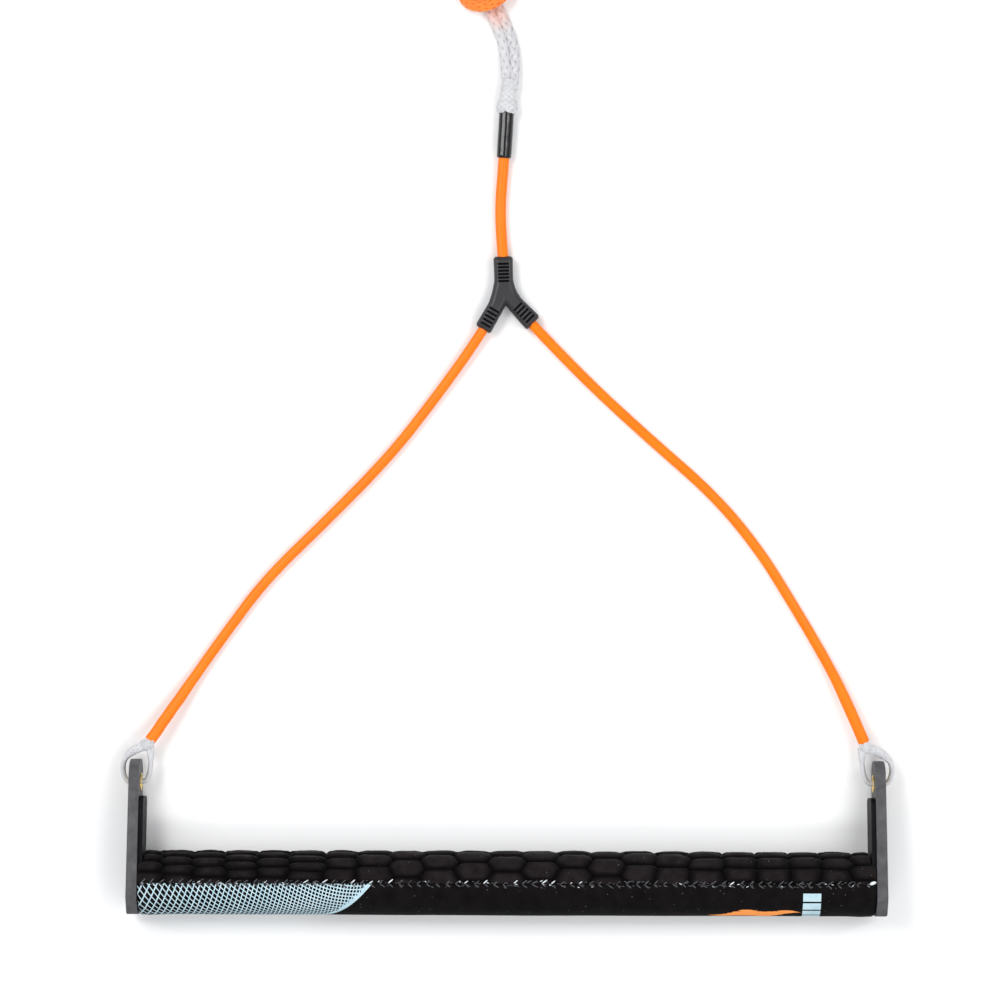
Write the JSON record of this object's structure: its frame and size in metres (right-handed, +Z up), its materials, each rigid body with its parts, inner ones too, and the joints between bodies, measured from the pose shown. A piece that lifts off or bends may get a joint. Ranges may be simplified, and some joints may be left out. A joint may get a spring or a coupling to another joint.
{
  "type": "tow rope handle",
  "caption": "Padded tow rope handle lying flat: grip bar between two end arms, coated rope bridle, moulded yoke, short lead and a braided loop hitched to a line end.",
  "frame": {"origin": "on the surface under the middle of the rigid handle's box", "axes": "+X along the bar, +Y from the bar towards the rope, +Z up from the surface that the handle lies on"},
  "size_m": [0.392, 0.5498, 0.0316],
  "materials": {
    "tube_alloy": "satin drawn tube",
    "float_foam": "closed-cell foam",
    "neoprene": "foam rubber",
    "pad_suede": "brushed suede over moulded foam cells",
    "print_cloth": "knit cloth with a pale printed net",
    "seam_thread": "twisted thread",
    "plug_plastic": "moulded nylon",
    "seal_rubber": "nitrile ring",
    "arm_plastic": "fine-grained moulded nylon",
    "brace_plastic": "moulded nylon",
    "screw_steel": "stainless",
    "eyelet_brass": "bright, slightly tarnished",
    "white_braid": "braided fibre",
    "orange_coating": "satin extruded coating on a braided core",
    "orange_braid": "braided fibre",
    "yoke_rubber": "moulded, matt",
    "black_sleeve": "glossy shrunk sleeve"
  },
  "bodies": {
    "handle": {"bar_tube": "tube_alloy", "flotation_foam": "float_foam", "left_tube_plug": "plug_plastic", "right_tube_plug": "plug_plastic", "left_plug_seal": "seal_rubber", "right_plug_seal": "seal_rubber", "grip_underlay": "neoprene", "grip_pad_panel": "pad_suede", "grip_print_panel": "print_cloth", "upper_seam_thread": "seam_thread", "lower_seam_thread": "seam_thread", "left_arm": "arm_plastic", "right_arm": "arm_plastic", "left_arm_brace": "brace_plastic", "right_arm_brace": "brace_plastic", "left_arm_screw": "screw_steel", "right_arm_screw": "screw_steel", "left_eyelet": "eyelet_brass", "right_eyelet": "eyelet_brass", "left_eyelet_washer": "eyelet_brass", "right_eyelet_washer": "eyelet_brass"},
    "bridle": {"left_eye_loop": "white_braid", "right_eye_loop": "white_braid", "left_leg_rope": "orange_coating", "right_leg_rope": "orange_coating", "bridle_splice": "white_braid", "yoke_upper_half": "yoke_rubber", "yoke_lower_half": "yoke_rubber"},
    "lead": {"lead_rope": "orange_coating", "lead_sleeve": "black_sleeve", "tow_loop": "white_braid", "tow_loop_collar": "white_braid", "mainline_loop": "orange_braid", "mainline_sleeve": "black_sleeve", "mainline_knot": "orange_braid"}
  },
  "joints": [
    {"name": "bridle_swing", "type": "hinge", "parent": "handle", "child": "bridle", "pos_m": [0, 0.02757, 0.01162], "axis": [1, 0, 0], "range_deg": [-100, 100]},
    {"name": "lead_flex", "type": "hinge", "parent": "bridle", "child": "lead", "pos_m": [-0.0039, 0.313, 0.0028], "axis": [1, 0, 0], "range_deg": [-70, 70], "deforming": ["lead_rope"]}
  ]
}
